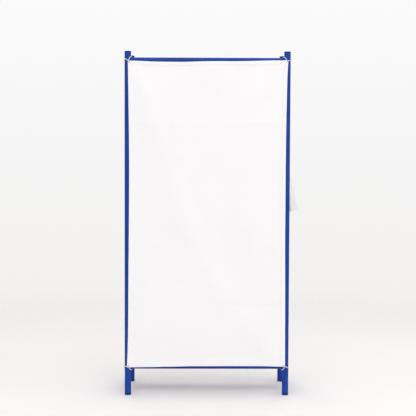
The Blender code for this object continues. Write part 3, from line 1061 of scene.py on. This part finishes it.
def strand_lines(line, diameter, strands, pitch, offset):
    """The centre line of each strand wound round a cord's own line."""
    first, second = carried_frames(line)
    lines = []
    for k in range(strands):
        turn = 2 * math.pi * (k / strands + distances(line) / (pitch * diameter))
        ray = first * np.cos(turn)[:, None] + second * np.sin(turn)[:, None]
        lines.append(line + ray * offset * diameter)
    return lines


def add_twisted(points, faces, line, diameter, taper=None, strands=STRANDS, pitch=TWIST_PITCH):
    """Adds a cord of strands laid round each other."""
    share = np.ones(len(line)) if taper is None else taper
    for strand in strand_lines(line, diameter, strands, pitch, STRAND_OFFSET):
        center = line + (strand - line) * share[:, None]
        tube(points, faces, center, STRAND_SHARE * diameter * share, STRAND_SIDES)


def add_frayed_tip(points, faces, tip, direction, draws):
    """Loose fibres that fan out of a cut cord end."""
    ahead = Vector(direction).normalized()
    across = ahead.orthogonal().normalized()
    other = ahead.cross(across)
    for _ in range(FRAYED_FIBERS):
        turn = draws.uniform(0, 2 * math.pi)
        spread = draws.uniform(*FIBER_SPREADS)
        long = draws.uniform(*FIBER_LENGTHS)
        ray = across * math.cos(turn) + other * math.sin(turn)
        root = Vector(tip) - ahead * 0.0015 + ray * TIE_DIAMETER * 0.30 * draws.uniform(0.2, 1.0)
        bend = root + (ahead + ray * spread * 0.5) * long * 0.5
        end = root + (ahead + ray * spread) * long
        line = smooth_line([root, bend, end], long / 4)
        tube(points, faces, line, np.linspace(*FIBER_RADII, len(line)), 5)


def knot_line(center, axis, side, radius):
    """A trefoil drawn tight: the way a cord runs in an overhand knot."""
    axis, side = Vector(axis).normalized(), Vector(side)
    side = (side - axis * side.dot(axis)).normalized()
    other = axis.cross(side)
    line = []
    for k in range(KNOT_STEPS + 1):
        t = 2 * math.pi * k / KNOT_STEPS
        x = (math.sin(t) + 2 * math.sin(2 * t)) / 3
        y = (math.cos(t) - 2 * math.cos(2 * t)) / 3
        z = -math.sin(3 * t) * 0.62
        line.append(np.array(Vector(center) + (side * x + other * y + axis * z) * radius))
    return np.array(line)


def add_tie(face, level, side):
    post = post_axis(face, side)
    sheet_low, sheet_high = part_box(f"{face}_sheet")
    front = abs((sheet_low.y if face == "front" else sheet_high.y) - post.y)

    def at(outward, forward, away):
        x = post.x + SIDES[side] * outward
        y = post.y + FACES[face] * forward
        z = RAIL_HEIGHTS[level] + LEVELS[level] * away
        return np.array((x, y, z))

    def way(*direction):
        return at(*direction) - at(0, 0, 0)

    node = f"{face}_{level}_{side}_tie"
    route = [at(*p) for p in tie_route(TIE_RISE[face, level, side], front)]
    line = smooth_line(route + [at(-HOLE_INSET, front - 0.0012, -HOLE_INSET * 0.96)], CORD_STEP)
    points, faces = [], []
    add_twisted(points, faces, line, TIE_DIAMETER)
    tie = new_piece(node + "_cord", points, faces, CORD)
    reach = TUBE_RADIUS + KNOT_RADIUS + GAP
    center = at(-0.30 * reach, -1.05 * reach, 1.02 * reach)
    draws = np.random.default_rng(40 + list(TIE_RISE).index((face, level, side)))
    points, faces = [], []
    knot = knot_line(center, way(0.2, -1.0, 0.7), way(1.0, 0.1, 0.2), KNOT_RADIUS * 0.92)
    add_twisted(points, faces, smooth_line(knot, CORD_STEP), TIE_DIAMETER * 0.94)
    for direction, bow in KNOT_ENDS:
        ahead = way(*direction) * KNOT_END_LENGTH
        middle_bow = way(0.12, 0, 0.25) * KNOT_END_LENGTH * bow * 0.4
        tip = center + ahead + np.array((0, 0, -0.0022))
        end = smooth_line([center, center + ahead * 0.5 + middle_bow, tip], CORD_STEP)
        add_twisted(points, faces, end, TIE_DIAMETER * 0.96)
        add_frayed_tip(points, faces, end[-1], end[-1] - end[-4], draws)
    ends = new_piece(node + "_knot", points, faces, CORD)
    settle(tie, node)
    settle(ends)


# The loose strip on the rear right post


STRIP_LOOP_FOLDS = 5
STRIP_LOOP_PITCH = 13.0
STRIP_LOOP_STEPS = 160
SLACK_FOLD_STEPS = 90
# Degrees round the post that a slack fold starts at and covers
SLACK_FOLD_ARC = (-215, 250)
TAIL_COLUMNS = 90
TAIL_ROWS = 96
TAIL_CLOTH = 0.0009
TAIL_LENGTH = 0.290
# The tail's outline and folds across its foot: share of the cut's width, outward, forward
TAIL_FOOT = (
    (0.00, -0.0120, 0.0030),
    (0.10, -0.0040, 0.0014),
    (0.20, 0.0040, 0.0040),
    (0.30, 0.0120, 0.0022),
    (0.39, 0.0200, 0.0010),
    (0.47, 0.0252, 0.0058),
    (0.53, 0.0296, 0.0118),
    (0.59, 0.0330, 0.0148),
    (0.72, 0.0435, 0.0122),
    (0.86, 0.0560, 0.0080),
    (1.00, 0.0673, 0.0034),
)
TAIL_NECK_HALF = 0.0058
TAIL_NECK_BACK = 0.0048
TAIL_PLEATS = 3.0
# Samples across the foot, and how many of them its curve is softened over
FOOT_SOFTENING = (401, 27)
# Shares of the tail's length where its hem starts and where the hem's stitches lie
TAIL_HEM_START = 0.955
TAIL_SEAM = 0.965
# Half a stitch's length, and its thread's radius from end to end
TAIL_STITCH = 0.0010
TAIL_THREAD = (0.00016, 0.00030, 0.00016)


def strip_place():
    """The knot's middle, which the tail's swing axis passes through."""
    swing = next(j for j in frame["joints"] if j["name"] == "strip_tail_swing")
    return np.array(swing["pos_m"])


def strip_folds(points, faces, post, height, radius, rope):
    """Adds the strip's folds round the post: tight ones wound together, slack ones above and below."""
    draws = np.random.default_rng(61)
    ring = []
    for k in range(STRIP_LOOP_STEPS):
        turn = 2 * math.pi * k / STRIP_LOOP_STEPS
        slope = 0.0016 * math.sin(turn + 0.6) + 0.0005 * math.sin(3 * turn)
        ring.append(on_circle(post, radius, turn, height + slope))
    line = np.array(ring + ring[:1])
    for strand in strand_lines(line, rope, STRIP_LOOP_FOLDS, STRIP_LOOP_PITCH, 0.22):
        swell = 1 + 0.12 * np.sin(np.linspace(0, 2 * math.pi * draws.integers(4, 8), len(line)))
        tube(points, faces, strand, 0.235 * rope * swell, 8)
    first, arc = SLACK_FOLD_ARC
    radii = 0.42 * rope * np.sin(np.linspace(0.25, math.pi - 0.25, SLACK_FOLD_STEPS)) ** 0.5
    for lift in (-1, 1):
        slack = []
        for k in range(SLACK_FOLD_STEPS):
            share = k / (SLACK_FOLD_STEPS - 1)
            turn = math.radians(first + arc * share)
            out = radius + 0.0004 + 0.0006 * math.sin(2.6 * turn + lift)
            rise = 0.0030 + 0.0009 * math.sin(3.1 * turn + 2 * lift)
            up = height + lift * rise * math.sin(math.pi * share) ** 0.5
            slack.append(on_circle(post, out, turn, up))
        tube(points, faces, np.array(slack), radii, 8)


def add_strip_loop():
    """The gathered strip drawn tight round the rear right post, with its knot and a short end."""
    post = post_axis("rear", "right")
    place = strip_place()
    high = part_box("side_strip_loop")[1]
    rope = high.y - post.y - TUBE_RADIUS - GAP
    radius = TUBE_RADIUS + GAP + rope / 2
    knot = high.x - place[0]
    points, faces = [], []
    strip_folds(points, faces, post, place[2], radius, rope)
    center = np.array((place[0], post.y - (TUBE_RADIUS + GAP + rope) + knot, place[2]))
    around = knot_line(center, (0.75, -0.66, 0.1), (0.1, 0.2, 1.0), knot * 0.86)
    add_twisted(points, faces, smooth_line(around, 0.0010), rope * 1.75, strands=4, pitch=6.0)
    bend, tip = center + np.array((0.006, 0.002, -0.006)), center + np.array((0.0085, 0.003, -0.015))
    stub = smooth_line([center, bend, tip], 0.001)
    add_twisted(points, faces, stub, rope * 0.9, np.linspace(1.0, 1.35, len(stub)), strands=4, pitch=9.0)
    loop = new_piece("strip_loop_and_knot", points, faces, STRIP)
    settle(loop, "side_strip_loop")
    return loop


def tail_grid():
    """The middle of the tail's cloth: gathered and pleated at its knot, fanned out at its foot."""
    columns, rows = TAIL_COLUMNS, TAIL_ROWS
    place = strip_place()
    share = np.linspace(0, 1, columns + 1)
    foot_x, foot_y = (softened(TAIL_FOOT, column, share, *FOOT_SOFTENING) for column in (1, 2))
    reach = TAIL_LENGTH - 0.012 * np.clip((foot_x - 0.030) / 0.037, 0, 1)
    neck_x = (share - 0.5) * 2 * TAIL_NECK_HALF
    pleat = 0.0011 * np.cos(share * 2 * math.pi * TAIL_PLEATS)
    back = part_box("side_strip_tail")[1].y
    grid = np.zeros((rows + 1, columns + 1, 3))
    for row in range(rows + 1):
        down = row / rows
        opened = down**1.15
        forward = (0.0016 + pleat) * (1 - opened) + foot_y * opened
        forward += 0.0009 * np.sin(down * 9.0 + share * 5.0) * opened * (1 - 0.3 * down)
        into_knot = TAIL_NECK_BACK * math.exp(-((down / 0.035) ** 2))
        grid[row, :, 0] = place[0] + neck_x * (1 - opened) + foot_x * opened
        grid[row, :, 1] = back - 0.0006 - np.maximum(forward, 0.0004) + into_knot
        grid[row, :, 2] = place[2] + 0.003 - (reach + 0.003) * down
    return grid


def add_tail():
    columns, rows = TAIL_COLUMNS, TAIL_ROWS
    grid = tail_grid()
    wide = np.gradient(grid, axis=1)
    normal = unit(np.cross(wide, np.gradient(grid, axis=0)))
    hem = np.clip((np.arange(rows + 1) / rows - TAIL_HEM_START) / 0.004, 0, 1)[:, None, None]
    half = normal * TAIL_CLOTH * (1 + hem) / 2
    sides = np.concatenate([(grid + half).reshape(-1, 3), (grid - half).reshape(-1, 3)])
    rim = grid_outline(columns + 1, rows + 1)
    faces = two_sided(grid_faces(columns + 1, rows + 1), [rim], len(sides) // 2)
    tail = new_piece("strip_tail", sides, faces, STRIP)
    points, faces = [], []
    row = round(rows * TAIL_SEAM)
    for i in range(2, columns - 1, 3):
        ahead = unit(wide[row, i]) * TAIL_STITCH
        for sign in (1, -1):
            raised = grid[row, i] + normal[row, i] * sign * TAIL_CLOTH * 1.02
            line = np.array([raised - ahead, raised, raised + ahead])
            tube(points, faces, line, TAIL_THREAD, 5)
    seam = new_piece("strip_tail_stitches", points, faces, THREAD)
    settle(tail, "side_strip_tail", "strip_tail")
    settle(seam, body="strip_tail")


# Floor, light and background


FLOOR_RADIUS = 7.0
FLOOR_SPOKES = 96
FLOOR_COLORS = ((0.945, 0.920, 0.912), (0.962, 0.940, 0.932))
# Shares of its radius where the floor starts to fade and where it has gone
FLOOR_FADE = (0.22, 0.64)


def add_floor():
    """A pale floor whose far part fades into the background."""
    shape = bmesh.new()
    bmesh.ops.create_circle(shape, cap_ends=True, segments=FLOOR_SPOKES, radius=FLOOR_RADIUS)
    mesh = bpy.data.meshes.new("floor")
    shape.to_mesh(mesh)
    shape.free()
    floor = link("floor", mesh)
    floor.location = (*POSTS_MIDDLE, 0)
    nodes = Nodes(bpy.data.materials.new("studio_floor"))
    at = nodes.coordinates()
    grain = nodes.noise(at, 35)
    color = nodes.ramp(grain, [(0.3, FLOOR_COLORS[0]), (0.7, FLOOR_COLORS[1])])
    nodes.finish(color, 0.8, nodes.bump(grain, 0.0004, 0.2), Specular_IOR_Level=0.1)
    away = nodes.add("ShaderNodeVectorMath", {0: at}, operation="LENGTH").outputs["Value"]
    start, gone = (FLOOR_RADIUS * share for share in FLOOR_FADE)
    inputs = {"Value": away, "From Min": start, "From Max": gone}
    fade = nodes.add("ShaderNodeMapRange", inputs, interpolation_type="SMOOTHSTEP")
    shaded = nodes.tree.nodes["Principled BSDF"].outputs["BSDF"]
    clear = nodes.add("ShaderNodeBsdfTransparent").outputs["BSDF"]
    nodes.mixed(fade.outputs["Result"], shaded, clear, "Material Output")
    floor.data.materials.append(nodes.owner)


WORLD_LIGHT = 0.55
WORLD_COLOR = (1.0, 0.995, 0.99, 1.0)
# What is seen behind, and how far below and above level its first and last colours are
SKY_SPAN = (-0.14, 0.12)
SKY = (
    (0.0, (0.888, 0.879, 0.863)),
    (0.35, (0.905, 0.896, 0.893)),
    (0.60, (0.925, 0.922, 0.922)),
    (1.0, (0.968, 0.966, 0.966)),
)


def add_background():
    """Nearly white all round, a little brighter overhead. The lamps give the rest of the light."""
    world = bpy.data.worlds.new("studio")
    bpy.context.scene.world = world
    nodes = Nodes(world)
    at = nodes.add("ShaderNodeTexCoord").outputs["Generated"]
    height = nodes.add("ShaderNodeSeparateXYZ", {"Vector": at}).outputs["Z"]
    inputs = {"Value": height, "From Min": SKY_SPAN[0], "From Max": SKY_SPAN[1]}
    share = nodes.add("ShaderNodeMapRange", inputs).outputs["Result"]
    seen = nodes.tree.nodes["Background"]
    nodes.feed(seen, {"Color": nodes.ramp(share, SKY)})
    lit = nodes.add("ShaderNodeBackground", {"Color": WORLD_COLOR, "Strength": WORLD_LIGHT})
    in_view = nodes.add("ShaderNodeLightPath").outputs["Is Camera Ray"]
    nodes.mixed(in_view, lit.outputs["Background"], seen.outputs["Background"], "World Output")


def add_area_light(name, place, target, size, power):
    data = bpy.data.lights.new(name, "AREA")
    data.shape = "RECTANGLE"
    data.size, data.size_y = size
    data.energy = power
    light = link(name, data)
    light.location = place
    aim = Vector(target) - Vector(place)
    light.rotation_euler = aim.to_track_quat("-Z", "Y").to_euler()
    light.visible_camera = False


def add_lights():
    add_area_light("overhead_light", (0.0, -0.9, 4.8), (0, -0.2, 0.0), (3.4, 3.0), 24)
    add_area_light("front_light", (0.0, -4.6, 4.6), (0, 0, 0.4), (5.0, 2.0), 106)
    add_area_light("low_front_light", (0.3, -6.8, 2.4), (0, 0, 0.8), (6.4, 2.2), 31)
    add_area_light("back_light", (0.0, 3.0, 4.2), (0, 0, 0.4), (4.6, 2.0), 64)
    add_area_light("left_light", (-4.5, -1.5, 2.8), (0, 0, 0.6), (2.6, 2.4), 9)
    add_area_light("right_light", (4.5, -2.0, 2.8), (0, 0, 0.6), (2.6, 2.4), 34)


add_camera()
COAT = powder_coat()
PLASTIC = cap_plastic()
CLOTH = cotton("cotton_canvas")
# The strip's cotton, painted lighter than the cloths' to stand in for light it lacks
STRIP = cotton("cotton_strip_painted_light", threads=THREADS_PER_M * 0.9, shade=STRIP_DARKER_TONE_PAINTED_LIGHT, light=STRIP_COTTON_PAINTED_LIGHT)
CORD = cord_cotton()
THREAD = thread_cotton()
add_tubes()
for corner in ((f, v, s) for v in RAIL_HEIGHTS for f in FACES for s in SIDES):
    add_weld(*corner)
add_caps()
add_sheets()
for corner in TIE_RISE:
    add_tie(*corner)
strip_loop = add_strip_loop()
add_tail()
add_floor()
add_background()
add_lights()
bpy.context.scene.view_settings.view_transform = "Standard"
